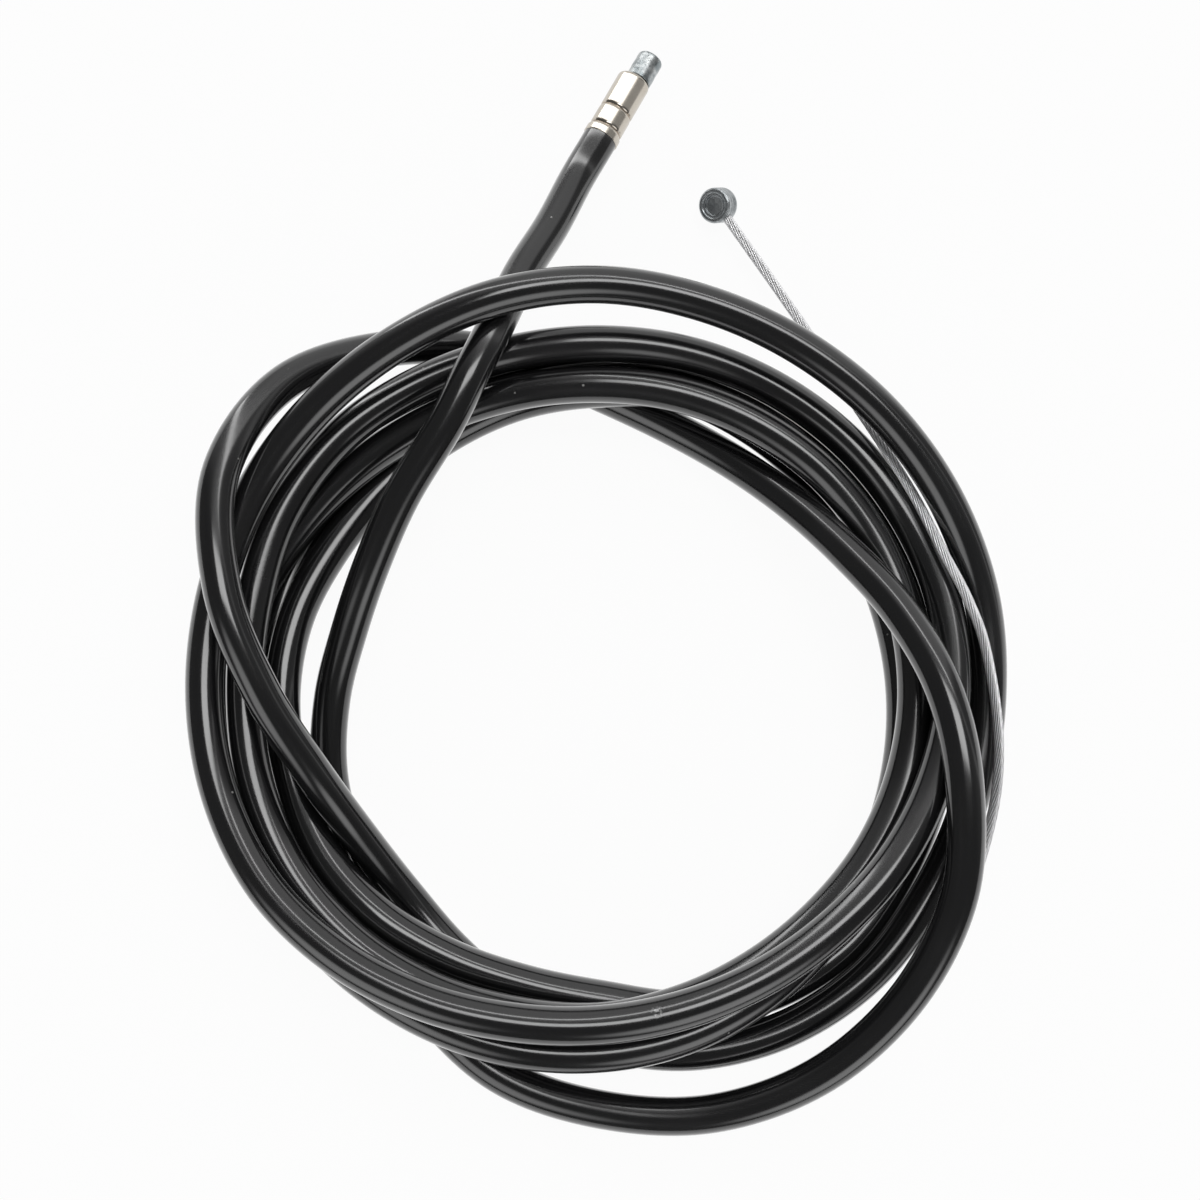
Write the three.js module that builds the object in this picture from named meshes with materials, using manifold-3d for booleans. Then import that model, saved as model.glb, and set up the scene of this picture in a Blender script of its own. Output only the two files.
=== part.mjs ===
// Shift cable for a bicycle: a plastic-jacketed cable housing lying in loose, interlaced turns,
// with an end ferrule, and the inner wire that runs through it from one nipple to the other.
// Millimetres, +Z up. The turns lie on the ground plane z = 0 and the origin is below their middle.

import * as THREE from "three";
import { mergeVertices } from "three/addons/utils/BufferGeometryUtils.js";
import Module from "manifold-3d";

const wasm = await Module();
wasm.setup();

// Housing and wire sections.
const jacketRadius = 2.5;
const jacketWall = 0.6;
const sleeveGap = 0.28;
const windingWall = 0.62;
const wireRadius = 0.7;
const boreSeat = 0.09;

// End ferrule, measured from its mouth along its axis.
const ferruleLength = 10.6;
const ferruleMouthRadius = 2.6;
const ferruleBodyRadius = 2.45;
const ferruleWall = 0.25;
const ferruleLip = 1.05;
const lipBevel = 0.1;
const lipStep = 0.15;
const grooveDepth = 0.15;
const grooveHalfWidth = 0.4;
const firstGroove = 1.5;
const secondGroove = 4.7;
const ferruleEndWall = 1.2;
const ferruleShoulder = 0.55;
const mouthGap = 0.15;
const neckSeat = 0.06;
const neckInset = 0.5;
const housingEndGap = 0.4;
const housingStop = ferruleLength - ferruleEndWall - housingEndGap;

// Inline nipple, beyond the ferrule's end face and a little to one side of its axis.
const inlineRadius = 1.9;
const inlineLength = 4.2;
const inlineRound = 0.45;
const inlineOffset = 0.45;
const inlineGap = 0.15;
const wireGrip = 3.1;

// Barrel nipple, lying on its rim at the other end of the wire.
const barrelRadius = 2.5;
const barrelHalfLength = 1.4;
const barrelBevel = 0.25;
const barrelRingRadius = 1.9;
const barrelRingStep = 0.15;
const barrelRecessRadius = 1.45;
const barrelRecessDepth = 0.4;
const barrelGrip = 1.5;

// Facets: turned pieces, housing and wire.
const turnedSides = 32;
const cordSides = 8;
const pinSides = 20;

// Placement. The coil's own middle is the zero of every route point below.
const coilMiddle = new THREE.Vector3(-0.3, -17.8, 0);
const ferruleMouth = new THREE.Vector3(0, 79.5, 8);
const ferruleAxis = new THREE.Vector3(0.463, 0.88, -0.107).normalize();
const ferruleSide = new THREE.Vector3(0.885, -0.466, 0).normalize();
const barrelMiddle = new THREE.Vector3(17.0, 71.8, 2.66);
const barrelAxis = new THREE.Vector3(-0.51, -0.34, 0.79).normalize();
const barrelWireDirection = new THREE.Vector3(-0.5547, 0.832, 0).normalize();

// The housing drops from the ferrule under one turn and over the next ones into the coil.
const leadPoints = [
  [-3.3, 73.3, 8.8],
  [-6.7, 65.4, 11.4],
  [-10.6, 57.5, 14.8],
  [-13.7, 49.6, 17.6],
  [-16.9, 42.6, 18.8],
];

// The turns: radius and height of the housing's centre every 15 degrees, counterclockwise seen
// from above, one turn a row from the start angle on.
const turnStartAngle = 120;
const turnStepAngle = 15;
const turnRadii = [
  [40.9, 37.1, 35.1, 34.9, 36.3, 38.1, 39.7, 42.9, 47.0, 51.5, 54.1, 56.4,
    57.1, 56.0, 53.3, 48.7, 44.8, 41.1, 38.4, 37.5, 38.0, 39.9, 43.8, 50.9],
  [56.2, 59.5, 57.2, 50.5, 43.9, 39.1, 37.0, 37.1, 39.1, 42.3, 45.6, 48.5,
    50.4, 51.3, 51.3, 51.8, 52.6, 53.6, 53.8, 53.7, 53.4, 53.2, 53.3, 53.1],
  [52.9, 53.1, 53.1, 52.6, 52.0, 51.2, 49.9, 47.7, 45.4, 43.5, 42.4, 41.9,
    42.0, 42.6, 43.9, 45.4, 47.0, 48.3, 48.9, 49.1, 48.8, 48.2, 47.7, 48.1],
  [48.9, 49.6, 49.2, 47.9, 47.2, 47.0, 46.5, 45.5, 44.2, 43.0, 42.4, 41.5,
    40.9, 40.8, 41.3, 41.9, 42.6, 43.1, 43.2, 43.0, 42.5, 42.2, 42.2, 42.9],
  [44.1, 45.7, 47.4, 49.3, 50.0, 50.0, 49.6, 48.9, 48.1, 47.4, 46.6, 45.7,
    44.5, 43.4, 42.5, 42.0, 41.9, 42.0, 42.3, 42.6, 43.2, 43.7, 43.0, 43.1],
  [42.8, 42.3, 42.3, 43.0, 43.1, 42.7, 42.2, 41.0, 39.7, 39.1, 39.9, 42.8,
    45.4, 46.9, 46.9, 47.0, 47.2, 47.5, 47.9, 48.0, 48.5, 48.7, 48.1, 47.9],
  [47.9, 47.5, 46.7, 46.3, 46.2, 46.4, 47.2, 48.4],
];
const turnHeights = [
  [18.1, 16.1, 13.3, 10.0, 6.9, 4.4, 3.0, 2.7, 3.4, 4.4, 5.5, 6.9,
    9.1, 11.9, 15.0, 17.1, 17.0, 14.9, 11.8, 8.5, 5.5, 3.4, 2.5, 3.5],
  [8.8, 15.3, 20.1, 21.1, 18.5, 13.8, 8.3, 4.1, 2.7, 2.6, 3.1, 3.9,
    4.7, 5.3, 5.5, 5.8, 6.7, 8.5, 11.7, 14.7, 17.4, 20.0, 21.9, 22.5],
  [20.9, 18.4, 16.3, 14.8, 14.4, 14.7, 15.7, 16.7, 17.2, 17.4, 17.4, 17.3,
    16.9, 16.2, 14.9, 12.9, 10.8, 9.0, 7.7, 8.0, 9.8, 12.3, 13.9, 13.3],
  [12.8, 12.8, 12.7, 12.4, 11.9, 11.6, 11.7, 12.0, 12.1, 12.2, 12.1, 12.0,
    11.8, 11.3, 10.4, 9.1, 8.1, 7.9, 8.8, 10.5, 12.2, 13.2, 13.1, 12.1],
  [10.7, 9.2, 7.8, 7.0, 6.7, 6.9, 7.3, 8.0, 8.7, 9.1, 9.2, 8.9,
    8.1, 6.8, 5.3, 3.9, 2.9, 2.8, 3.7, 5.2, 7.0, 8.2, 7.6, 5.9],
  [5.0, 5.2, 5.9, 6.5, 6.9, 7.3, 8.5, 9.3, 8.6, 7.1, 5.4, 3.9,
    2.9, 2.6, 2.5, 2.5, 2.6, 2.6, 2.5, 2.8, 3.7, 5.7, 8.1, 8.1],
  [6.1, 4.0, 2.7, 2.5, 2.6, 2.6, 2.5, 2.5],
];

// The bare wire beyond the housing: under the outer turn, over one turn and under it again.
const wirePoints = [
  [-24.1, -43.3, 0.9],
  [-16.1, -48.9, 0.9],
  [-3.8, -53.7, 0.9],
  [11.8, -55.2, 1.5],
  [27.2, -51.0, 2.6],
  [39.8, -41.3, 4.2],
  [48.2, -28.1, 6.2],
  [52.2, -16.3, 8.3],
  [53.1, -5.8, 10.3],
  [51.6, 5.7, 11.6],
  [49.3, 12.6, 12.2],
  [45.9, 19.8, 11.9],
  [42.7, 27.3, 10.5],
  [38.7, 34.6, 9.8],
  [34.7, 42.1, 7.5],
  [30.7, 50.0, 4.8],
  [24.6, 60.4, 2.7],
];

// One smooth line through every point of the cable, sampled by point number, so that the pieces
// inside one another bend at the same places.
class RoutePart extends THREE.Curve {
  constructor(route, first, last) {
    super();
    this.route = route;
    this.first = first;
    this.last = last;
  }

  getPoint(t, target = new THREE.Vector3()) {
    const index = this.first + (this.last - this.first) * t;
    return this.route.getPoint(index / (this.route.points.length - 1), target);
  }

  getPointAt(t, target) {
    return this.getPoint(t, target);
  }

  getSpacedPoints(steps) {
    return this.getPoints(steps);
  }

  getTangentAt(t, target) {
    return this.getTangent(t, target);
  }
}

function onFerrule(distance, aside = 0) {
  return ferruleMouth.clone()
    .addScaledVector(ferruleAxis, distance)
    .addScaledVector(ferruleSide, aside);
}

function turnPoints() {
  const radii = turnRadii.flat();
  const heights = turnHeights.flat();
  return radii.map((radius, step) => {
    const angle = THREE.MathUtils.degToRad(turnStartAngle + turnStepAngle * step);
    return new THREE.Vector3(radius * Math.cos(angle), radius * Math.sin(angle), heights[step]);
  });
}

const inlineStart = ferruleLength + inlineGap;
const startPoints = [
  onFerrule(inlineStart + wireGrip, inlineOffset),
  onFerrule(inlineStart, inlineOffset),
  onFerrule(housingStop),
  onFerrule(-mouthGap),
];
const housingPoints = [
  ...startPoints,
  ...leadPoints.map((p) => new THREE.Vector3(...p)),
  ...turnPoints(),
];
const barrelEntry = barrelMiddle.clone().addScaledVector(barrelWireDirection, -barrelRadius);
const routePoints = [
  ...housingPoints,
  ...wirePoints.map((p) => new THREE.Vector3(...p)),
  barrelEntry,
  barrelEntry.clone().addScaledVector(barrelWireDirection, barrelGrip),
].map((p) => p.clone().add(coilMiddle));
const route = new THREE.CatmullRomCurve3(routePoints, false, "catmullrom", 0.5);

const neckIndex = startPoints.length - 2;
const mouthIndex = startPoints.length - 1;
const housingEndIndex = housingPoints.length - 1;
const wireEndIndex = routePoints.length - 1;

// Section of a round cord: a regular outline, with a regular hole when it is hollow.
function ringOutline(radius, PathType) {
  const path = new PathType();
  for (let side = 0; side < cordSides; side += 1) {
    const angle = (2 * Math.PI * side) / cordSides;
    const x = radius * Math.cos(angle);
    const y = radius * Math.sin(angle);
    if (side === 0) {
      path.moveTo(x, y);
    } else {
      path.lineTo(x, y);
    }
  }
  path.closePath();
  return path;
}

function sweep(first, last, outerRadius, innerRadius = 0) {
  const section = ringOutline(outerRadius, THREE.Shape);
  if (innerRadius > 0) {
    section.holes.push(ringOutline(innerRadius, THREE.Path));
  }
  return new THREE.ExtrudeGeometry(section, {
    extrudePath: new RoutePart(route, first, last),
    steps: last - first,
    bevelEnabled: false,
  });
}

// A turned piece: (radius, distance) pairs about +Z, moved so that +Z points along the axis.
function turn(profile, start, axis, sides = turnedSides) {
  const points = profile.map(([radius, distance]) => new THREE.Vector2(radius, distance));
  const geometry = new THREE.LatheGeometry(points, sides);
  geometry.rotateX(Math.PI / 2);
  const upright = new THREE.Vector3(0, 0, 1);
  const turnTo = new THREE.Quaternion().setFromUnitVectors(upright, axis);
  geometry.applyQuaternion(turnTo);
  geometry.translate(start.x, start.y, start.z);
  return geometry;
}

function toSolid(geometry) {
  const bare = geometry.clone();
  bare.deleteAttribute("normal");
  bare.deleteAttribute("uv");
  const merged = mergeVertices(bare, 1e-4);
  return new wasm.Manifold(new wasm.Mesh({
    numProp: 3,
    vertProperties: Float32Array.from(merged.attributes.position.array),
    triVerts: Uint32Array.from(merged.index.array),
  }));
}

function toGeometry(solid) {
  const mesh = solid.getMesh();
  const geometry = new THREE.BufferGeometry();
  geometry.setAttribute("position", new THREE.BufferAttribute(mesh.vertProperties, 3));
  geometry.setIndex(new THREE.BufferAttribute(mesh.triVerts, 1));
  return geometry;
}

// Jacket: the full tube starts at the ferrule's mouth, and a thinner neck goes on inside it.
const jacketBore = jacketRadius - jacketWall;
const neckRadius = ferruleBodyRadius - ferruleWall - neckSeat;
const neckStart = onFerrule(-mouthGap - neckInset).add(coilMiddle);
const neckLength = housingStop + mouthGap + neckInset;
const neckProfile = [
  [jacketBore, 0],
  [neckRadius, 0],
  [neckRadius, neckLength],
  [jacketBore, neckLength],
  [jacketBore, 0],
];
const jacketTube = sweep(mouthIndex, housingEndIndex, jacketRadius, jacketBore);
const jacketNeck = turn(neckProfile, neckStart, ferruleAxis, pinSides);
const jacketGeometry = toGeometry(toSolid(jacketTube).add(toSolid(jacketNeck)));

// Winding of flat steel strip, shown as one sleeve inside the jacket.
const windingRadius = jacketBore - sleeveGap;
const windingGeometry = sweep(
  neckIndex, housingEndIndex, windingRadius, windingRadius - windingWall);

const wireGeometry = sweep(0, wireEndIndex, wireRadius);

// Ferrule: pressed shell with a lip, two rolled grooves, a round shoulder and a pierced end.
const ferruleBore = ferruleBodyRadius - ferruleWall;
const ferruleHole = wireRadius + inlineOffset + boreSeat;
const grooveRadius = ferruleBodyRadius - grooveDepth;
const shoulderStart = ferruleLength - ferruleShoulder;
const ferruleProfile = [
  [ferruleBore, 0],
  [ferruleMouthRadius - lipBevel, 0],
  [ferruleMouthRadius, lipStep],
  [ferruleMouthRadius, ferruleLip - lipStep],
  [grooveRadius, firstGroove],
  [ferruleBodyRadius, firstGroove + grooveHalfWidth],
  [ferruleBodyRadius, secondGroove - grooveHalfWidth],
  [grooveRadius, secondGroove],
  [ferruleBodyRadius, secondGroove + grooveHalfWidth],
  [ferruleBodyRadius, shoulderStart],
  [ferruleBodyRadius - 0.16 * ferruleShoulder, ferruleLength - 0.45 * ferruleShoulder],
  [ferruleBodyRadius - 0.5 * ferruleShoulder, ferruleLength - 0.13 * ferruleShoulder],
  [ferruleBodyRadius - ferruleShoulder, ferruleLength],
  [ferruleHole, ferruleLength],
  [ferruleHole, ferruleLength - ferruleEndWall],
  [ferruleBore, ferruleLength - ferruleEndWall],
  [ferruleBore, 0],
];
const ferruleGeometry = turn(ferruleProfile, onFerrule(0).add(coilMiddle), ferruleAxis);

// Inline nipple: a plain slug with a rounded free end, cast round the end of the wire.
const wireBore = wireRadius + boreSeat;
const inlineProfile = [
  [wireBore, 0],
  [inlineRadius, 0],
  [inlineRadius, inlineLength - inlineRound],
  [inlineRadius - 0.3 * inlineRound, inlineLength - 0.3 * inlineRound],
  [inlineRadius - inlineRound, inlineLength],
  [0, inlineLength],
  [0, wireGrip + boreSeat],
  [wireBore, wireGrip + boreSeat],
  [wireBore, 0],
];
const inlineGeometry = turn(
  inlineProfile, onFerrule(inlineStart, inlineOffset).add(coilMiddle), ferruleAxis);

// Barrel nipple: a short turned drum with a stepped, recessed face and the wire in its side.
const barrelProfile = [
  [0, -barrelHalfLength],
  [barrelRadius - barrelBevel, -barrelHalfLength],
  [barrelRadius, -barrelHalfLength + barrelBevel],
  [barrelRadius, barrelHalfLength - barrelBevel],
  [barrelRadius - barrelBevel, barrelHalfLength],
  [barrelRingRadius, barrelHalfLength],
  [barrelRingRadius - barrelRingStep, barrelHalfLength - barrelRingStep],
  [barrelRecessRadius, barrelHalfLength - barrelRingStep],
  [barrelRecessRadius, barrelHalfLength - barrelRecessDepth],
  [0, barrelHalfLength - barrelRecessDepth],
];
const barrelCentre = barrelMiddle.clone().add(coilMiddle);
const boreDepth = barrelGrip + boreSeat;
const boreProfile = [
  [0, 0],
  [wireBore, 0],
  [wireBore, boreDepth + barrelRadius],
  [0, boreDepth + barrelRadius],
];
const boreStart = barrelEntry.clone()
  .addScaledVector(barrelWireDirection, -barrelRadius)
  .add(coilMiddle);
const barrelBore = turn(boreProfile, boreStart, barrelWireDirection, pinSides);
const barrelBlank = turn(barrelProfile, barrelCentre, barrelAxis);
const barrelGeometry = toGeometry(toSolid(barrelBlank).subtract(toSolid(barrelBore)));

const materials = {
  jacket: new THREE.MeshStandardMaterial({ color: 0x0b0b0c, roughness: 0.28, metalness: 0 }),
  steel: new THREE.MeshStandardMaterial({ color: 0x8f9194, roughness: 0.45, metalness: 1 }),
  wire: new THREE.MeshStandardMaterial({ color: 0xb9bbbd, roughness: 0.3, metalness: 1 }),
  nickel: new THREE.MeshStandardMaterial({ color: 0xcfc3b2, roughness: 0.16, metalness: 1 }),
  zinc: new THREE.MeshStandardMaterial({ color: 0x98a0a3, roughness: 0.42, metalness: 1 }),
  barrelZinc: new THREE.MeshStandardMaterial({ color: 0xa3a7a8, roughness: 0.38, metalness: 1 }),
};

const pieces = [
  ["housing_jacket", jacketGeometry, materials.jacket],
  ["spiral_winding", windingGeometry, materials.steel],
  ["inner_wire", wireGeometry, materials.wire],
  ["end_ferrule", ferruleGeometry, materials.nickel],
  ["inline_nipple", inlineGeometry, materials.zinc],
  ["barrel_nipple", barrelGeometry, materials.barrelZinc],
];

const shiftCable = new THREE.Group();
for (const [name, geometry, material] of pieces) {
  const mesh = new THREE.Mesh(geometry, material);
  mesh.name = name;
  shiftCable.add(mesh);
}

export default shiftCable;
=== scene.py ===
from math import pi, radians

import bpy
import numpy as np
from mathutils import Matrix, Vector


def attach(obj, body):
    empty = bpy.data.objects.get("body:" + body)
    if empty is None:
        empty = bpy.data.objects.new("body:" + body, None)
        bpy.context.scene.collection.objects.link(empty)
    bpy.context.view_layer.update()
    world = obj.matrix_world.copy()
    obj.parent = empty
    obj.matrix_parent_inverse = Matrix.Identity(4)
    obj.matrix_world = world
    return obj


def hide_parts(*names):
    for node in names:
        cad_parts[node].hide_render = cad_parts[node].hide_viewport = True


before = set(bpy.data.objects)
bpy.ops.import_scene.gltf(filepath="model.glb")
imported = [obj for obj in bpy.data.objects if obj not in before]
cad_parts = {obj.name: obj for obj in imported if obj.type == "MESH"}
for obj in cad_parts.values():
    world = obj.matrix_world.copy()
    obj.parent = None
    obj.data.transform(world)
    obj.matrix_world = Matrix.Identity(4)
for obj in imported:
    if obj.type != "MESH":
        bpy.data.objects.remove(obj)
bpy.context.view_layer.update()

cameraView = {
    "place": (-0.0003, -0.04277, 0.250),
    "tilt": 9.0,       # degrees from straight down, looking a little towards +Y
    "lens": 54.0,
    "sensor": 36.0,
}
camera = bpy.data.objects.new("camera", bpy.data.cameras.new("camera"))
camera.location = cameraView["place"]
camera.rotation_euler = (radians(cameraView["tilt"]), 0, 0)
camera.data.lens = cameraView["lens"]
camera.data.sensor_width = cameraView["sensor"]
camera.data.clip_start = 0.01
bpy.context.scene.collection.objects.link(camera)
bpy.context.scene.camera = camera

# The route of the cable, in metres, about the middle of the coil.
coilMiddle = np.array([-0.0003, -0.0178, 0.0])
ferruleMouth = np.array([0.0, 0.0795, 0.008])
ferruleAxis = np.array([0.463, 0.88, -0.107])
ferruleSide = np.array([0.885, -0.466, 0.0])
barrelMiddle = np.array([0.0170, 0.0718, 0.00266])
barrelAxis = np.array([-0.51, -0.34, 0.79])
barrelWireDirection = np.array([-0.5547, 0.832, 0.0])
for direction in (ferruleAxis, ferruleSide, barrelAxis, barrelWireDirection):
    direction /= np.linalg.norm(direction)

cable = {
    "jacketRadius": 0.0025,
    "jacketWall": 0.0006,
    "sleeveGap": 0.00028,    # between the jacket and the winding
    "windingWall": 0.00062,
    "wireRadius": 0.0007,
    "mouthGap": 0.00015,     # between the ferrule's mouth and the jacket's full thickness
    "housingStop": 0.0090,   # where the neck ends inside the ferrule
    "neckRadius": 0.00214,
    "edge": 0.00012,         # rounding of the jacket's cut edges
    "jacketSides": 32,
    "jacketStep": 0.0012,    # between two rings of the outside
    "boreStep": 0.004,
    "windingSides": 20,
    "windingStep": 0.003,
}
ferrule = {
    "length": 0.0106,
    "mouthRadius": 0.0026,
    "bodyRadius": 0.00245,
    "wall": 0.00025,
    "lip": 0.00105,
    "grooves": (0.0015, 0.0047),
    "grooveDepth": 0.00015,
    "grooveWidth": 0.00022,
    "endWall": 0.0012,
    "shoulder": 0.00055,
    "hole": 0.00124,
    "fineEdge": 0.00004,     # rounding of the bore's and the hole's edges
    "mouthEdge": 0.00012,
    "bodyRings": 170,
    "waver": (0.00004, 0.00002),  # how far each groove strays, in three waves and in seven
    "sides": 144,
}
inlineNipple = {
    "radius": 0.0019,
    "length": 0.0042,
    "round": 0.00045,
    "aside": 0.00045,      # how far it sits beside the ferrule's axis
    "gap": 0.00015,
    "grip": 0.0031,        # how deep the wire goes in
    "uneven": 0.00001,
    "sideRings": 38,
    "endRings": 8,
    "sides": 96,
}
barrelNipple = {
    "radius": 0.0025,
    "halfLength": 0.0014,
    "bevel": 0.00025,
    "ringRadius": 0.0019,
    "ringStep": 0.00015,
    "recessRadius": 0.00145,
    "recessDepth": 0.0004,
    "grip": 0.0015,
    "fineRings": (-0.0006, -0.0002, 0.00045),  # along the drum's side
    "fineRingDepth": 0.00004,
    "fineRingWidth": 0.00006,
    "dimpleDepth": 0.00022,  # where the wire goes in
    "dimpleReach": 0.00085,
    "sideRings": 58,
    "endRings": 9,
    "sides": 160,
}


def onFerrule(distance, aside=0.0):
    # A point on the ferrule's axis, that far in from its mouth, and to one side of it.
    return ferruleMouth + ferruleAxis * distance + ferruleSide * aside


# From the ferrule the housing climbs into the coil, under one turn and over the others.
leadPoints = np.array([
    (-0.0033, 0.0733, 0.0088),
    (-0.0067, 0.0654, 0.0114),
    (-0.0106, 0.0575, 0.0148),
    (-0.0137, 0.0496, 0.0176),
    (-0.0169, 0.0426, 0.0188),
])

# Radius and height of the housing's centre every 15 degrees, half a turn to a row.
turnStart, turnStep = 120.0, 15.0
turnRadii = np.array([
    0.0409, 0.0371, 0.0351, 0.0349, 0.0363, 0.0381, 0.0397, 0.0429, 0.0470, 0.0515, 0.0541, 0.0564,
    0.0571, 0.0560, 0.0533, 0.0487, 0.0448, 0.0411, 0.0384, 0.0375, 0.0380, 0.0399, 0.0438, 0.0509,
    0.0562, 0.0595, 0.0572, 0.0505, 0.0439, 0.0391, 0.0370, 0.0371, 0.0391, 0.0423, 0.0456, 0.0485,
    0.0504, 0.0513, 0.0513, 0.0518, 0.0526, 0.0536, 0.0538, 0.0537, 0.0534, 0.0532, 0.0533, 0.0531,
    0.0529, 0.0531, 0.0531, 0.0526, 0.0520, 0.0512, 0.0499, 0.0477, 0.0454, 0.0435, 0.0424, 0.0419,
    0.0420, 0.0426, 0.0439, 0.0454, 0.0470, 0.0483, 0.0489, 0.0491, 0.0488, 0.0482, 0.0477, 0.0481,
    0.0489, 0.0496, 0.0492, 0.0479, 0.0472, 0.0470, 0.0465, 0.0455, 0.0442, 0.0430, 0.0424, 0.0415,
    0.0409, 0.0408, 0.0413, 0.0419, 0.0426, 0.0431, 0.0432, 0.0430, 0.0425, 0.0422, 0.0422, 0.0429,
    0.0441, 0.0457, 0.0474, 0.0493, 0.0500, 0.0500, 0.0496, 0.0489, 0.0481, 0.0474, 0.0466, 0.0457,
    0.0445, 0.0434, 0.0425, 0.0420, 0.0419, 0.0420, 0.0423, 0.0426, 0.0432, 0.0437, 0.0430, 0.0431,
    0.0428, 0.0423, 0.0423, 0.0430, 0.0431, 0.0427, 0.0422, 0.0410, 0.0397, 0.0391, 0.0399, 0.0428,
    0.0454, 0.0469, 0.0469, 0.0470, 0.0472, 0.0475, 0.0479, 0.0480, 0.0485, 0.0487, 0.0481, 0.0479,
    0.0479, 0.0475, 0.0467, 0.0463, 0.0462, 0.0464, 0.0472, 0.0484,
])
turnHeights = np.array([
    0.0181, 0.0161, 0.0133, 0.0100, 0.0069, 0.0044, 0.0030, 0.0027, 0.0034, 0.0044, 0.0055, 0.0069,
    0.0091, 0.0119, 0.0150, 0.0171, 0.0170, 0.0149, 0.0118, 0.0085, 0.0055, 0.0034, 0.0025, 0.0035,
    0.0088, 0.0153, 0.0201, 0.0211, 0.0185, 0.0138, 0.0083, 0.0041, 0.0027, 0.0026, 0.0031, 0.0039,
    0.0047, 0.0053, 0.0055, 0.0058, 0.0067, 0.0085, 0.0117, 0.0147, 0.0174, 0.0200, 0.0219, 0.0225,
    0.0209, 0.0184, 0.0163, 0.0148, 0.0144, 0.0147, 0.0157, 0.0167, 0.0172, 0.0174, 0.0174, 0.0173,
    0.0169, 0.0162, 0.0149, 0.0129, 0.0108, 0.0090, 0.0077, 0.0080, 0.0098, 0.0123, 0.0139, 0.0133,
    0.0128, 0.0128, 0.0127, 0.0124, 0.0119, 0.0116, 0.0117, 0.0120, 0.0121, 0.0122, 0.0121, 0.0120,
    0.0118, 0.0113, 0.0104, 0.0091, 0.0081, 0.0079, 0.0088, 0.0105, 0.0122, 0.0132, 0.0131, 0.0121,
    0.0107, 0.0092, 0.0078, 0.0070, 0.0067, 0.0069, 0.0073, 0.0080, 0.0087, 0.0091, 0.0092, 0.0089,
    0.0081, 0.0068, 0.0053, 0.0039, 0.0029, 0.0028, 0.0037, 0.0052, 0.0070, 0.0082, 0.0076, 0.0059,
    0.0050, 0.0052, 0.0059, 0.0065, 0.0069, 0.0073, 0.0085, 0.0093, 0.0086, 0.0071, 0.0054, 0.0039,
    0.0029, 0.0026, 0.0025, 0.0025, 0.0026, 0.0026, 0.0025, 0.0028, 0.0037, 0.0057, 0.0081, 0.0081,
    0.0061, 0.0040, 0.0027, 0.0025, 0.0026, 0.0026, 0.0025, 0.0025,
])

# The bare wire beyond the housing.
wirePoints = np.array([
    (-0.0241, -0.0433, 0.0009),
    (-0.0161, -0.0489, 0.0009),
    (-0.0038, -0.0537, 0.0009),
    (0.0118, -0.0552, 0.0015),
    (0.0272, -0.0510, 0.0026),
    (0.0398, -0.0413, 0.0042),
    (0.0482, -0.0281, 0.0062),
    (0.0522, -0.0163, 0.0083),
    (0.0531, -0.0058, 0.0103),
    (0.0516, 0.0057, 0.0116),
    (0.0493, 0.0126, 0.0122),
    (0.0459, 0.0198, 0.0119),
    (0.0427, 0.0273, 0.0105),
    (0.0387, 0.0346, 0.0098),
    (0.0347, 0.0421, 0.0075),
    (0.0307, 0.0500, 0.0048),
    (0.0246, 0.0604, 0.0027),
])

turnAngles = np.radians(turnStart + turnStep * np.arange(len(turnRadii)))
turnPoints = np.column_stack([
    turnRadii * np.cos(turnAngles), turnRadii * np.sin(turnAngles), turnHeights])
inlineStart = ferrule["length"] + inlineNipple["gap"]
startPoints = np.array([
    onFerrule(inlineStart + inlineNipple["grip"], inlineNipple["aside"]),
    onFerrule(inlineStart, inlineNipple["aside"]),
    onFerrule(cable["housingStop"]),
    onFerrule(-cable["mouthGap"]),
])
barrelEntry = barrelMiddle - barrelWireDirection * barrelNipple["radius"]
routePoints = coilMiddle + np.vstack([
    startPoints, leadPoints, turnPoints, wirePoints,
    barrelEntry, barrelEntry + barrelWireDirection * barrelNipple["grip"],
])
neckIndex, mouthIndex = 2.0, 3.0
housingEndIndex = float(len(startPoints) + len(leadPoints) + len(turnPoints) - 1)
wireEndIndex = float(len(routePoints) - 1)


def routeAt(index):
    # Place and direction on the smooth line through every route point. Between two points it is the
    # cubic whose slope at each end is half the step between that point's neighbours.
    first, last = 2 * routePoints[0] - routePoints[1], 2 * routePoints[-1] - routePoints[-2]
    padded = np.vstack([first, routePoints, last])
    start = np.clip(np.floor(index).astype(int), 0, len(routePoints) - 2)
    t = (index - start)[:, None]
    a, b, c, d = (padded[start + k] for k in range(4))
    place = 0.5 * (2 * b + (c - a) * t + (2 * a - 5 * b + 4 * c - d) * t**2
                   + (3 * b - a - 3 * c + d) * t**3)
    slope = 0.5 * ((c - a) + 2 * (2 * a - 5 * b + 4 * c - d) * t
                   + 3 * (3 * b - a - 3 * c + d) * t**2)
    return place, slope / np.linalg.norm(slope, axis=1, keepdims=True)


# Length along the route at a fine row of indices, to space the rings evenly.
stepsPerPoint = 40
fineIndex = np.linspace(0.0, wireEndIndex, int(wireEndIndex) * stepsPerPoint + 1)
finePlace = routeAt(fineIndex)[0]
fineLength = np.concatenate([[0.0], np.cumsum(np.linalg.norm(np.diff(finePlace, axis=0), axis=1))])


def lengthAt(index):
    # Length along the route from its start to the point of that index.
    return float(np.interp(index, fineIndex, fineLength))


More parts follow.
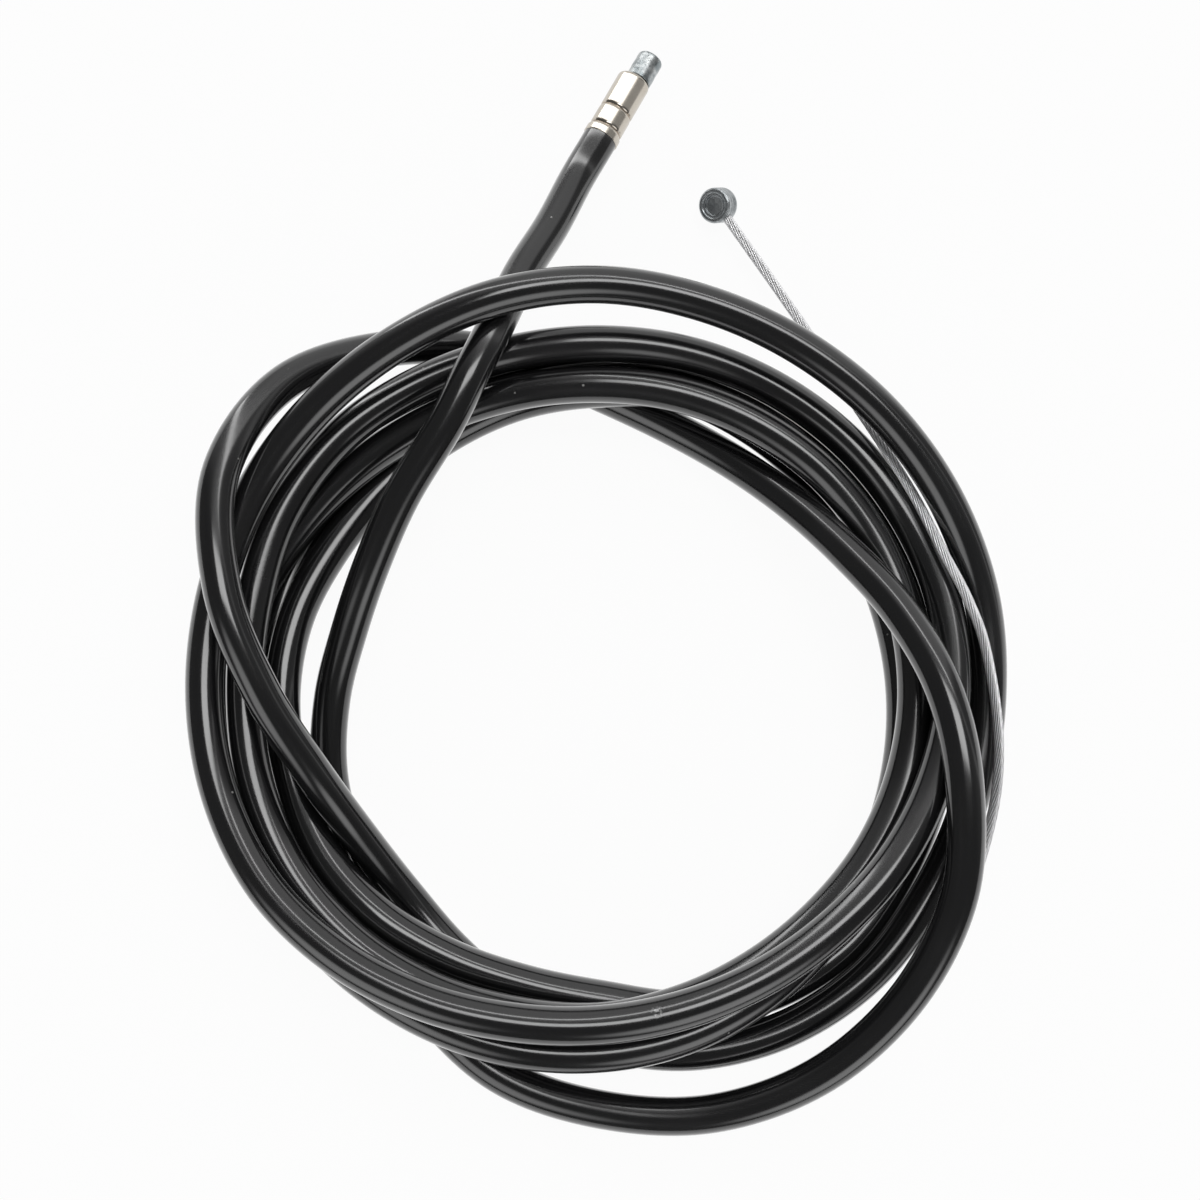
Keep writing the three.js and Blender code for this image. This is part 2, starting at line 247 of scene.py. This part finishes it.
def ringsAlongRoute(length, radius, angle):
    # A tube: at each length along the route, go out by the radius at each angle round the line,
    # where angle 0 points sideways and a quarter turn points up.
    place, direction = routeAt(np.interp(length, fineLength, fineIndex))
    side = np.cross(direction, [0.0, 0.0, 1.0])
    side /= np.linalg.norm(side, axis=1, keepdims=True)
    rise = np.cross(side, direction)
    out = np.cos(angle)[..., None] * side[:, None] + np.sin(angle)[..., None] * rise[:, None]
    return place[:, None] + radius[..., None] * out


def surface(name, points, skin, wrapRows=False, sharp=40.0):
    # A mesh from a grid of points, closed round each row. The rows either join in a loop as well,
    # or their two ends close on a middle point. skin is the same grid with the piece laid out
    # straight, and edges steeper than sharp, in degrees, stay hard.
    rows, columns = points.shape[:2]
    corners, flat = points.reshape(-1, 3), skin.reshape(-1, 3)
    row = np.arange(rows if wrapRows else rows - 1)[:, None]
    column = np.arange(columns)[None, :]
    nextRow, nextColumn = (row + 1) % rows, (column + 1) % columns
    quads = np.stack([
        row * columns + column, row * columns + nextColumn,
        nextRow * columns + nextColumn, nextRow * columns + column], axis=-1).reshape(-1, 4)
    fans = np.zeros((0, 3), int)
    if not wrapRows:
        corners = np.vstack([corners, points[0].mean(0), points[-1].mean(0)])
        flat = np.vstack([flat, skin[0].mean(0), skin[-1].mean(0)])
        c, n = column[0], nextColumn[0]
        last = (rows - 1) * columns
        fans = np.vstack([
            np.column_stack([n, c, np.full(columns, len(corners) - 2)]),
            np.column_stack([last + c, last + n, np.full(columns, len(corners) - 1)])])
    halves = np.vstack([quads[:, [0, 1, 2]], quads[:, [0, 2, 3]], fans])
    a, b, c = (corners[halves[:, k]] for k in range(3))
    if np.einsum("ij,ij->i", a, np.cross(b, c)).sum() < 0:  # inside out
        quads, fans = quads[:, ::-1], fans[:, ::-1]
    mesh = bpy.data.meshes.new(name)
    mesh.vertices.add(len(corners))
    mesh.vertices.foreach_set("co", corners.ravel())
    loops = np.concatenate([quads.ravel(), fans.ravel()])
    mesh.loops.add(len(loops))
    mesh.loops.foreach_set("vertex_index", loops)
    sizes = np.concatenate([np.full(len(quads), 4), np.full(len(fans), 3)])
    mesh.polygons.add(len(sizes))
    mesh.polygons.foreach_set("loop_start", np.concatenate([[0], np.cumsum(sizes)[:-1]]))
    mesh.update(calc_edges=True)
    mesh.polygons.foreach_set("use_smooth", np.ones(len(sizes), bool))
    mesh.set_sharp_from_angle(angle=radians(sharp))
    straight = mesh.attributes.new("straight", "FLOAT_VECTOR", "POINT")
    straight.data.foreach_set("vector", flat.ravel())
    mesh.validate()
    piece = bpy.data.objects.new(name, mesh)
    bpy.context.scene.collection.objects.link(piece)
    return piece


def upright(along, radius, angle):
    # The same rings about the Z axis: radius and angle round it, and the length up it.
    return np.stack([radius * np.cos(angle), radius * np.sin(angle), along], axis=-1)


def straightened(length, radius, angle):
    # The rings of a tube with its line laid out straight along Z.
    return upright(length[:, None] + 0.0 * angle, radius, angle)


def turned(start, axis, distance, radius, angle):
    # A turned piece: out by the radius at each angle, and that distance along the axis.
    side = np.cross(axis, [0.0, 0.0, 1.0])
    side /= np.linalg.norm(side)
    rise = np.cross(side, axis)
    out = np.cos(angle)[..., None] * side + np.sin(angle)[..., None] * rise
    return start + distance[..., None] * axis + radius[..., None] * out


def ringAngles(count):
    # That many equal steps round a full circle, as one row.
    return np.linspace(0.0, 2 * pi, count, endpoint=False)[None, :]


def rounded(corners, steps=5):
    # A profile of (distance, radius, rounding) corners: each corner is a short curve that leaves
    # one edge and joins the next, with one more point beyond each end of the curve so that flat
    # faces stay flat.
    line = np.array(corners, float)
    out = []
    t = np.linspace(0.0, 1.0, steps)[:, None]
    for k, (distance, radius, rounding) in enumerate(line):
        here = line[k, :2]
        if rounding == 0:
            out.append(here[None])
            continue
        before = line[k - 1, :2] - here
        after = line[(k + 1) % len(line), :2] - here
        before /= np.linalg.norm(before)
        after /= np.linalg.norm(after)
        enter, leave = here + before * rounding, here + after * rounding
        curve = (1 - t)**2 * enter + 2 * t * (1 - t) * here + t**2 * leave
        out.append(np.vstack([
            enter + before * rounding * 0.15, curve, leave + after * rounding * 0.15]))
    return np.vstack(out)


def makeJacket():
    # A profile of length and radius, turned round the route: out along the neck and the full
    # thickness, round the cut end and back along the bore.
    full, neck = cable["jacketRadius"], cable["neckRadius"]
    bore, edge = full - cable["jacketWall"], cable["edge"]
    begin, mouth, end = lengthAt(neckIndex), lengthAt(mouthIndex), lengthAt(housingEndIndex)
    outside = np.linspace(
        mouth + 2 * edge, end - 2 * edge, int((end - mouth) / cable["jacketStep"]))
    inside = np.linspace(end - edge, begin + edge, int((end - begin) / cable["boreStep"]))
    neckRows = rounded([
        (begin, bore, 0), (begin, neck, edge / 2), (mouth, neck, 0), (mouth, full, edge)])
    endRows = rounded([
        (mouth, full, 0), (end, full, edge), (end, bore, edge / 2), (begin, bore, 0)])[1:-1]
    length = np.concatenate([neckRows[:, 0], outside, endRows[:, 0], inside])
    radius = np.concatenate([
        neckRows[:, 1], np.full(len(outside), full), endRows[:, 1], np.full(len(inside), bore)])
    angle = ringAngles(cable["jacketSides"]) + 0 * length[:, None]
    radius = radius[:, None] + 0 * angle
    piece = surface("jacket", ringsAlongRoute(length, radius, angle),
                    straightened(length, radius, angle), wrapRows=True)
    return piece, begin, end


def makeWinding():
    # The spiral winding inside the jacket, open at both ends: along its outside and back inside.
    outer = cable["jacketRadius"] - cable["jacketWall"] - cable["sleeveGap"]
    inner = outer - cable["windingWall"]
    begin, end = lengthAt(neckIndex), lengthAt(housingEndIndex)
    there = np.linspace(begin, end, int((end - begin) / cable["windingStep"]))
    length = np.concatenate([there, there[::-1]])
    radius = np.concatenate([np.full(len(there), outer), np.full(len(there), inner)])[:, None]
    angle = ringAngles(cable["windingSides"]) + 0 * length[:, None]
    radius = radius + 0 * angle
    return surface("winding", ringsAlongRoute(length, radius, angle),
                   straightened(length, radius, angle), wrapRows=True)


strand = {
    "outerWires": 12,
    "lay": 0.0185,         # length of one turn of a wire round the strand, right-hand
    "pointsPerWire": 6,
    "freeStep": 0.0005,    # between two rings where it is bare
    "hiddenStep": 0.005,
    "twistFrom": 0.006,    # so far inside the housing's end the turning starts
}


def makeWire():
    # The stranded wire: its section is twelve round wires side by side on a ring. From a little
    # inside the housing's end on, the section turns with the length, one turn a lay.
    full = cable["wireRadius"]
    half = pi / strand["outerWires"]
    single = full * np.sin(half) / (1 + np.sin(half))
    ring = full - single
    end, tip = lengthAt(housingEndIndex), lengthAt(wireEndIndex)
    twistFrom = end - strand["twistFrom"]
    hidden = np.linspace(0.0, twistFrom, int(end / strand["hiddenStep"]))
    free = np.linspace(twistFrom + strand["freeStep"], tip, int((tip - end) / strand["freeStep"]))
    length = np.concatenate([hidden, free])
    column = ringAngles(strand["outerWires"] * strand["pointsPerWire"])
    off = (column + half) % (2 * half) - half
    section = ring * np.cos(off) + np.sqrt(np.maximum(single**2 - (ring * np.sin(off))**2, 0.0))
    radius = section + 0 * length[:, None]
    twist = -2 * pi * np.maximum(length - twistFrom, 0.0) / strand["lay"]
    angle = column + twist[:, None]
    piece = surface("wire", ringsAlongRoute(length, radius, angle),
                    straightened(length, radius, angle), sharp=180.0)
    low, high = section.min(), section.max()
    height = ((radius - low) / (high - low)).ravel()  # 0 in a valley, 1 on the crown of a wire
    # The crown value also places the painted shade in the wire's colour.
    crown = piece.data.attributes.new("crown", "FLOAT", "POINT")
    crown.data.foreach_set("value", np.concatenate([height, [0.0, 0.0]]))
    return piece, tip


def makeFerrule():
    # A pressed shell, a profile turned round its axis: lip, two rolled grooves whose lines waver a
    # little, a round shoulder, an end wall with its hole, and the bore behind it.
    f = ferrule
    mouth, lip, length = f["mouthRadius"], f["lip"], f["length"]
    body, fine = f["bodyRadius"], f["fineEdge"]
    bore, wallStart = body - f["wall"], length - f["endWall"]
    head = rounded([
        (0.0, bore, fine), (0.0, mouth, f["mouthEdge"]), (lip, mouth, 2 * fine),
        (lip + fine, body + fine, 0), (length, body, 0)])[:-1]
    sideRows = np.linspace(
        lip + f["mouthEdge"], length - f["shoulder"] - 0.0001, f["bodyRings"])
    tail = rounded([
        (lip, body, 0), (length, body, f["shoulder"]), (length, f["hole"], 1.5 * fine),
        (wallStart, f["hole"], fine), (wallStart, bore, fine), (0.0, bore, 0)], steps=9)[1:-1]
    distance = np.concatenate([head[:, 0], sideRows, tail[:, 0]])
    radius = np.concatenate([head[:, 1], np.full(len(sideRows), body), tail[:, 1]])
    angle = ringAngles(f["sides"]) + 0 * distance[:, None]
    onBody = ((distance > lip) & (radius > bore + 0.0001))[:, None]
    dent = np.zeros(angle.shape)
    wide, narrow = f["waver"]
    for k, place in enumerate(f["grooves"]):
        waver = wide * np.sin(3 * angle + 1.3 * k) + narrow * np.sin(7 * angle + 0.6)
        dent += np.exp(-((distance[:, None] - place - waver) / f["grooveWidth"])**2)
    radius = radius[:, None] - f["grooveDepth"] * dent * onBody
    along = distance[:, None] + 0 * angle
    return surface("ferrule", turned(coilMiddle + ferruleMouth, ferruleAxis, along, radius, angle),
                   upright(along, radius, angle), wrapRows=True)


def makeInlineNipple():
    # A cast slug, a profile turned round the ferrule's direction: plain sides and softly rounded
    # ends, made uneven by two waves that run round and along it.
    n = inlineNipple
    full, length, rings = n["radius"], n["length"], n["endRings"]
    corners = rounded([
        (0.0, 0.0, 0), (0.0, full, 0.0002), (length, full, n["round"]), (length, 0.0, 0),
    ], steps=9)[1:-1]
    middle = len(corners) // 2
    first, last = corners[:middle], corners[middle:]
    side = np.linspace(first[-1, 0], last[0, 0], n["sideRings"] + 2)[1:-1]
    grow = np.linspace(0.1, 0.93, rings)
    distance = np.concatenate([
        np.zeros(rings), first[:, 0], side, last[:, 0], np.full(rings, length)])
    radius = np.concatenate([
        grow * first[0, 1], first[:, 1], np.full(len(side), full), last[:, 1],
        grow[::-1] * last[-1, 1]])
    angle = ringAngles(n["sides"]) + 0 * distance[:, None]
    radius = radius[:, None] + 0 * angle
    along = distance[:, None] + 0 * angle
    waves = np.sin(5 * angle + 2600 * along) + np.sin(3 * angle - 4100 * along + 1.0)
    radius = radius + n["uneven"] * (waves * (radius > 0.6 * full) - 1.0)
    start = coilMiddle + onFerrule(inlineStart, n["aside"])
    return surface("inlineNipple", turned(start, ferruleAxis, along, radius, angle),
                   upright(along, radius, angle))


def makeBarrelNipple():
    # A drum, a profile turned round its axis: bevelled rims, a raised ring and a recess in the
    # face, fine rings on its side, and a dimple that fades with the distance from the wire.
    b = barrelNipple
    full, half, bevel, rings = b["radius"], b["halfLength"], b["bevel"], b["endRings"]
    step, floorAt = half - b["ringStep"], half - b["recessDepth"]
    corners = rounded([
        (-half, 0.0, 0), (-half, full - bevel, 0.00007), (-half + bevel, full, 0.00007),
        (half - bevel, full, 0.00007), (half, full - bevel, 0.00007),
        (half, b["ringRadius"], 0.00006), (step, b["ringRadius"] - b["ringStep"], 0.00005),
        (step, b["recessRadius"], 0.00006), (floorAt, b["recessRadius"] - 0.00012, 0.00008),
        (floorAt, 0.0, 0)])[1:-1]
    cut = int(np.argmax(corners[:, 0] > 0.0))
    first, last = corners[:cut], corners[cut:]
    side = np.linspace(first[-1, 0], last[0, 0], b["sideRings"] + 2)[1:-1]
    grow = np.linspace(0.06, 0.95, rings)
    distance = np.concatenate([
        np.full(rings, -half), first[:, 0], side, last[:, 0], np.full(rings, floorAt)])
    radius = np.concatenate([
        grow * first[0, 1], first[:, 1], np.full(len(side), full), last[:, 1],
        grow[::-1] * last[-1, 1]])
    angle = ringAngles(b["sides"]) + 0 * distance[:, None]
    radius = radius[:, None] + 0 * angle
    along = distance[:, None] + 0 * angle
    outer = radius > 0.9 * full
    onSide = (np.abs(along) < half - bevel - 0.0001) & outer
    for place in b["fineRings"]:
        line = np.exp(-((along - place) / b["fineRingWidth"])**2)
        radius = radius - onSide * b["fineRingDepth"] * line
    centre = coilMiddle + barrelMiddle
    points = turned(centre, barrelAxis, along, radius, angle)
    toWire = np.linalg.norm(points - (coilMiddle + barrelEntry), axis=-1)
    dimple = b["dimpleDepth"] * np.exp(-(toWire / b["dimpleReach"])**4)
    points = turned(centre, barrelAxis, along, radius - dimple * outer, angle)
    return surface("barrelNipple", points, upright(along, radius, angle))


jacket, jacketBegin, jacketEnd = makeJacket()
winding = makeWinding()
wire, wireTip = makeWire()
ferruleShell = makeFerrule()
inlineSlug = makeInlineNipple()
barrelDrum = makeBarrelNipple()
print("surfaces made:", [(o.name, len(o.data.polygons)) for o in (
    jacket, winding, wire, ferruleShell, inlineSlug, barrelDrum)])


class Value:
    # One socket of a material's nodes. An operator on it adds the Math node that it stands for.
    def __init__(self, tree, socket):
        self.tree, self.socket = tree, socket

    def math(self, operation, first, second=None):
        node = self.tree.nodes.new("ShaderNodeMath")
        node.operation = operation
        for k, value in enumerate((first, second)):
            if isinstance(value, Value):
                self.tree.links.new(value.socket, node.inputs[k])
            elif value is not None:
                node.inputs[k].default_value = value
        return Value(self.tree, node.outputs[0])

    def __add__(self, other):
        return self.math("ADD", self, other)

    def __radd__(self, other):
        return self.math("ADD", other, self)

    def __sub__(self, other):
        return self.math("SUBTRACT", self, other)

    def __rsub__(self, other):
        return self.math("SUBTRACT", other, self)

    def __mul__(self, other):
        return self.math("MULTIPLY", self, other)

    def __rmul__(self, other):
        return self.math("MULTIPLY", other, self)

    def __truediv__(self, other):
        return self.math("DIVIDE", self, other)

    def __rtruediv__(self, other):
        return self.math("DIVIDE", other, self)

    def above(self, other):
        # 1 where it is more than the other, else 0.
        return self.math("GREATER_THAN", self, other)

    def clear(self):
        # Held between 0 and 1.
        return self.math("MINIMUM", self.math("MAXIMUM", self, 0.0), 1.0)


class Nodes:
    # The nodes of one material or of the world. node() adds one of a type, its settings first.
    def __init__(self, owner, shader):
        owner.use_nodes = True
        self.owner, self.tree = owner, owner.node_tree
        self.shader = self.tree.nodes[shader]

    def node(self, kind, settings=(), output=0, **inputs):
        node = self.tree.nodes.new(kind)
        for key, value in dict(settings).items():
            setattr(node, key, value)
        for key, value in inputs.items():
            self.put(node.inputs[int(key[1:]) if key[1:].isdigit() else key], value)
        return Value(self.tree, node.outputs[output])

    def put(self, socket, value):
        if isinstance(value, Value):
            self.tree.links.new(value.socket, socket)
        elif isinstance(value, tuple) and socket.type == "RGBA":
            socket.default_value = (*value, 1.0)
        else:
            socket.default_value = value

    def surface(self, **inputs):
        for key, value in inputs.items():
            self.put(self.shader.inputs[key.replace("_", " ")], value)

    def place(self):
        # Places in the object's own coordinates.
        return self.node("ShaderNodeTexCoord", output=3)

    def straight(self, stretch=(1.0, 1.0, 1.0)):
        # Places on the piece as if it were laid out straight, stretched by these factors.
        laid = self.node("ShaderNodeAttribute", {"attribute_name": "straight"}, output=1)
        return self.node("ShaderNodeVectorMath", {"operation": "MULTIPLY"}, i0=laid, i1=stretch)

    def noise(self, vector, scale, detail=3.0, roughness=0.5):
        return self.node("ShaderNodeTexNoise", Vector=vector, Scale=scale, Detail=detail,
                         Roughness=roughness)

    def fade(self, value, low, high):
        # 0 below low, 1 above high and a smooth slope between them.
        return self.node("ShaderNodeMapRange", {"interpolation_type": "SMOOTHSTEP"},
                         i0=value, i1=low, i2=high, i3=0.0, i4=1.0)

    def mix(self, factor, first, second):
        return self.node("ShaderNodeMix", {"data_type": "RGBA"}, output=2, i0=factor, i6=first,
                         i7=second)

    def nearTo(self, point, reach):
        # 1 at a point of the coil and falling to 0 at that reach from it.
        away = self.node("ShaderNodeVectorMath", {"operation": "DISTANCE"}, output=1,
                         i0=self.place(), i1=point)
        return 1.0 - self.fade(away, reach * 0.35, reach)

    def toward(self, direction, to):
        # How far a direction of view points the same way as another: 1 along it, 0 square to it.
        to = tuple(Vector(to).normalized())
        return self.node("ShaderNodeVectorMath", {"operation": "DOT_PRODUCT"}, output=1,
                         i0=direction, i1=to)

    def bump(self, height, distance, strength=1.0):
        return self.node("ShaderNodeBump", Strength=strength, Distance=distance, Height=height)


def newFinish(name):
    # A new material, ready for its nodes.
    return Nodes(bpy.data.materials.new(name), "Principled BSDF")


jacketFinish = {
    "black": (0.0075, 0.0075, 0.008),
    "handledBlack": (0.012, 0.012, 0.0125),
    "dust": (0.30, 0.30, 0.29),
    "dustSpacing": 170.0,
    "dustSize": (0.018, 0.034),   # where a speck starts to fade and where it ends
    # Painted highlight: the nick's lighter grey stands in for the light it catches.
    "paintedNickHighlight": (0.35, 0.35, 0.35),  # colour of the nick
    "roughness": 0.18,
    "skinRoughness": 0.11,
    "relief": 0.00003,
    "scuffs": [                   # patches of fine ripples, each a point and its reach
        ((0.0255, -0.0523, 0.0188), 0.007), ((-0.0457, -0.0004, 0.0149), 0.006),
        ((-0.0458, -0.0273, 0.0141), 0.008), ((0.0451, -0.0036, 0.0112), 0.006),
        ((0.0462, -0.0091, 0.0120), 0.006), ((-0.0396, -0.0458, 0.0185), 0.003),
    ],
    "nickWithHighlight": ((0.0068, -0.0584, 0.0198), 0.0009),
}
steelFinish = {
    "winding": ((0.32, 0.32, 0.33), (0.46, 0.46, 0.47)),
    # Painted shade: a dark colour for the valleys between the wires.
    "paintedValleyShade": (0.10, 0.098, 0.095),
    "crown": (0.86, 0.86, 0.87),
    "grime": (0.45, 0.43, 0.41),
    "roughness": 0.36,
}
nickelFinish = {
    "plate": (0.60, 0.555, 0.49),
    "clouded": (0.50, 0.45, 0.38),
    "groove": (0.30, 0.22, 0.15),
    "grooveLine": (0.00005, 0.00022),
    "roughness": 0.15,
    "relief": 0.00002,
}
zincFinish = {
    "inline": ((0.58, 0.60, 0.60), (0.26, 0.29, 0.30), 0.22, 800.0),
    "barrel": ((0.48, 0.50, 0.51), (0.28, 0.30, 0.31), 0.26, 700.0),
    "pit": (0.10, 0.11, 0.12),
    "relief": 0.00005,
}


def glossyJacket():
    # Black, smooth plastic with a glossy skin: long drawn marks and slow waves in its surface, dust
    # in some cells of a cell pattern, and the scuffs and the nick named above. The nick is a dent
    # with a painted highlight, a lighter grey, in it.
    j = jacketFinish
    f = newFinish("glossyJacket")
    scuffed = 0.0
    for point, reach in j["scuffs"]:
        scuffed = scuffed + f.nearTo(point, reach)
    ripples = f.noise(f.place(), 1100.0, 3.0) * scuffed
    # The nick's mask: a real dent in the height, and a painted highlight in the colour.
    nickWithHighlight = f.nearTo(*j["nickWithHighlight"])
    drawn = f.noise(f.straight((1.0, 1.0, 0.03)), 900.0, 3.0)
    waves = f.noise(f.straight((1.0, 1.0, 0.25)), 260.0, 2.0)
    grain = f.noise(f.place(), 2600.0, 3.0)
    handled = f.fade(f.noise(f.place(), 55.0, 4.0), 0.48, 0.72)
    cells = {"Vector": f.place(), "Scale": j["dustSpacing"]}
    chosen = f.node("ShaderNodeSeparateColor", i0=f.node("ShaderNodeTexVoronoi", output=1, **cells))
    specks = 1.0 - f.fade(f.node("ShaderNodeTexVoronoi", **cells), *j["dustSize"])
    specks = specks * chosen.above(0.45)
    colour = f.mix(handled * 0.5, j["black"], j["handledBlack"])
    colour = f.mix(specks, colour, j["dust"])
    # Painted highlight: a lighter grey in the nick, in a grainy patch.
    colour = f.mix(nickWithHighlight * f.fade(grain, 0.45, 0.6), colour, j["paintedNickHighlight"])
    height = drawn * 0.4 + waves * 0.6 + grain * 0.05 + ripples * 0.8 - nickWithHighlight * 2.0
    rough = j["roughness"] + handled * 0.06 + specks * 0.3 + scuffed * 0.06 + (grain - 0.5) * 0.04
    f.surface(Base_Color=colour, IOR=1.5, Coat_Weight=1.0, Coat_Roughness=j["skinRoughness"],
              Roughness=rough, Normal=f.bump(height, j["relief"], 0.4))
    return f.owner


def windingSteel():
    # Plain rolled steel, between two greys by one noise.
    f = newFinish("windingSteel")
    cloud = f.noise(f.straight(), 1200.0)
    f.surface(Base_Color=f.mix(cloud, *steelFinish["winding"]), Metallic=1.0,
              Roughness=0.38 + cloud * 0.15)
    return f.owner


def strandedSteel():
    # Bright drawn steel, with painted shade in the valleys between its wires, and a little grime.
    w = steelFinish
    f = newFinish("strandedSteel")
    crown = f.node("ShaderNodeAttribute", {"attribute_name": "crown"}, output=2)
    grime = f.noise(f.place(), 900.0, 4.0)
    drawn = f.noise(f.straight((1.0, 1.0, 0.05)), 3500.0)
    # Painted shade: the colour goes dark towards the valleys between the wires, by the crown value.
    colour = f.mix(f.fade(crown, 0.05, 0.60), w["paintedValleyShade"], w["crown"])
    colour = f.mix(f.fade(grime, 0.55, 0.8) * 0.35, colour, w["grime"])
    f.surface(Base_Color=colour, Metallic=1.0,
              Roughness=w["roughness"] + grime * 0.08 + drawn * 0.04)
    return f.owner


def nickelShell():
    # Warm, bright plating with drawn streaks along it and a brown line in each groove.
    n = nickelFinish
    f = newFinish("nickelShell")
    along = f.node("ShaderNodeSeparateXYZ", output=2, Vector=f.straight())
    streaks = f.noise(f.straight((1.0, 1.0, 0.12)), 900.0, 3.0)
    cloud = f.noise(f.place(), 420.0, 4.0)
    waver = (f.noise(f.straight(), 900.0, 2.0) - 0.5) * 0.00025
    colour = f.mix(f.fade(cloud, 0.5, 0.75) * 0.5, n["plate"], n["clouded"])
    for place in ferrule["grooves"]:
        line = f.node("ShaderNodeMath", {"operation": "ABSOLUTE"}, i0=along + waver - place)
        colour = f.mix((1.0 - f.fade(line, *n["grooveLine"])) * 0.6, colour, n["groove"])
    f.surface(Base_Color=colour, Metallic=1.0,
              Roughness=n["roughness"] + streaks * 0.06 + cloud * 0.04,
              Normal=f.bump(streaks + cloud * 0.5, n["relief"], 0.05))
    return f.owner


def castZinc(name, light, dark, rough, lumps):
    # Cast metal: cloudy between a light and a dark grey, with small dark pits.
    f = newFinish(name)
    cloud = f.noise(f.place(), lumps, 5.0, 0.62)
    pits = f.fade(f.noise(f.place(), lumps * 3.5, 3.0), 0.62, 0.72)
    colour = f.mix(f.fade(cloud, 0.35, 0.68), dark, light)
    colour = f.mix(pits * 0.5, colour, zincFinish["pit"])
    f.surface(Base_Color=colour, Metallic=1.0, Roughness=rough + cloud * 0.16,
              Normal=f.bump(cloud - pits * 0.4, zincFinish["relief"], 0.5))
    return f.owner


def give(piece, material, node):
    # The piece gets its finish and takes the place of its plain solid.
    piece.data.materials.append(material)
    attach(piece, "root")
    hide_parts(node)


give(jacket, glossyJacket(), "housing_jacket")
give(winding, windingSteel(), "spiral_winding")
give(wire, strandedSteel(), "inner_wire")
give(ferruleShell, nickelShell(), "end_ferrule")
give(inlineSlug, castZinc("inlineZinc", *zincFinish["inline"]), "inline_nipple")
give(barrelDrum, castZinc("barrelZinc", *zincFinish["barrel"]), "barrel_nipple")
print("finishes given")

# The two cords: the housing from the ferrule's mouth to its cut end, and the wire from nipple to
# nipple. pathStep is the distance between two points of their paths.
pathStep = 0.004


def ringCentres(begin, end, lastIndex):
    # The route's places from one length to another in equal steps, and its point of the last index.
    steps = np.interp(np.arange(begin, end, pathStep), fineLength, fineIndex)
    return routeAt(np.append(steps, lastIndex))[0]


jacketPath = ringCentres(jacketBegin, jacketEnd, housingEndIndex)
wirePath = ringCentres(0.0, wireTip, wireEndIndex)

print("cords named:", round(jacketEnd - jacketBegin, 3), "m and", round(wireTip, 3), "m")

studio = {
    "floorSize": 3.0,
    "floorDrop": 0.0003,
    "shadowLeft": 0.05,      # share of the floor's own shade that the camera sees
    "room": 0.10,
    "wall": 0.65,            # white wall beyond the +Y side
    "wallTo": (0.446, 0.887, -0.118),
    "wallEdge": 0.4825,      # how far towards wallTo a direction points at the wall's upper edge
    "wallFades": (-0.559, 0.829, 0.0),  # away from this side the wall is dimmer
    "seam": 5.0,             # bright line along the wall's upper edge
    "seamWidth": 0.035,
    "box": 5.0,              # soft box overhead
    "boxSides": (-0.10, 0.52, 0.0, 0.28),  # left, right, near and far, as slopes from straight up
    "boxBlur": 0.04,
    "windows": [             # direction, level, where it is full and where it ends
        ((-0.556, -0.640, 0.530), 1.5, 0.985, 0.90),
        ((0.380, -0.815, 0.438), 1.7, 0.985, 0.92),
    ],
}
half = studio["floorSize"] / 2
floorMesh = bpy.data.meshes.new("floor")
floorMesh.from_pydata(
    [(x * half, y * half, -studio["floorDrop"]) for x, y in ((-1, -1), (1, -1), (1, 1), (-1, 1))],
    [], [(0, 1, 2, 3)])
floor = bpy.data.objects.new("floor", floorMesh)
bpy.context.scene.collection.objects.link(floor)


def paleFloor():
    # White to the camera and in reflections, with a little of its own shade left in it.
    f = newFinish("paleFloor")
    f.surface(Base_Color=(0.85, 0.85, 0.85), Roughness=0.9)
    seen = f.node("ShaderNodeLightPath", output=0) + f.node("ShaderNodeLightPath", output=3)
    white = f.node("ShaderNodeEmission", Color=(1.0, 1.0, 1.0), Strength=1.0)
    own = Value(f.tree, f.shader.outputs[0])
    share = seen.clear() * (1.0 - studio["shadowLeft"])
    mixed = f.node("ShaderNodeMixShader", i0=share, i1=own, i2=white)
    f.put(f.tree.nodes["Material Output"].inputs[0], mixed)
    return f.owner


floorMesh.materials.append(paleFloor())


def studioLight():
    # The room round the object: a dim room, a white wall whose upper edge is a bright line, a soft
    # box overhead and two pale windows low on the near side. The camera sees plain white instead.
    s = Nodes(bpy.data.worlds.new("studio"), "Background")
    look = s.node("ShaderNodeTexCoord", output=0)
    x, y, z = (s.node("ShaderNodeSeparateXYZ", output=k, Vector=look) for k in range(3))
    onWall = s.toward(look, studio["wallTo"])
    edge, width = studio["wallEdge"], studio["seamWidth"]
    onward = s.fade(s.toward(look, studio["wallFades"]), -0.10, 0.10)
    onward = (0.15 + 0.85 * onward) * (0.55 + 0.45 * s.fade(x, -0.45, 0.0))
    level = studio["room"] + studio["wall"] * s.fade(onWall, 0.0, edge) * onward
    off = (onWall - edge) * (1.0 / width)
    nearBy = 1.0 - s.fade(x, 0.40, 0.62) * 0.9
    level = level + studio["seam"] * nearBy * (1.0 - s.fade(off * off, 0.2, 1.6))
    left, right, near, far = studio["boxSides"]
    across, deep, soft = x / z, y / z, studio["boxBlur"]
    box = s.fade(across, left - soft, left + soft)
    box = box * s.fade(across * -1.0, -right - soft, soft - right)
    box = box * s.fade(deep, near - soft, near + soft)
    box = box * s.fade(deep * -1.0, -far - soft, soft - far)
    level = level + studio["box"] * box * z.above(0.05)
    for to, strength, full, end in studio["windows"]:
        level = level + strength * s.fade(s.toward(look, to), end, full)
    seen = s.node("ShaderNodeLightPath", output=0)
    s.put(s.shader.inputs["Strength"], level + (1.0 - level) * seen)
    s.put(s.shader.inputs["Color"], (1.0, 1.0, 1.0))
    return s.owner


bpy.context.scene.world = studioLight()
bpy.context.scene.view_settings.view_transform = "Standard"
print("studio set")
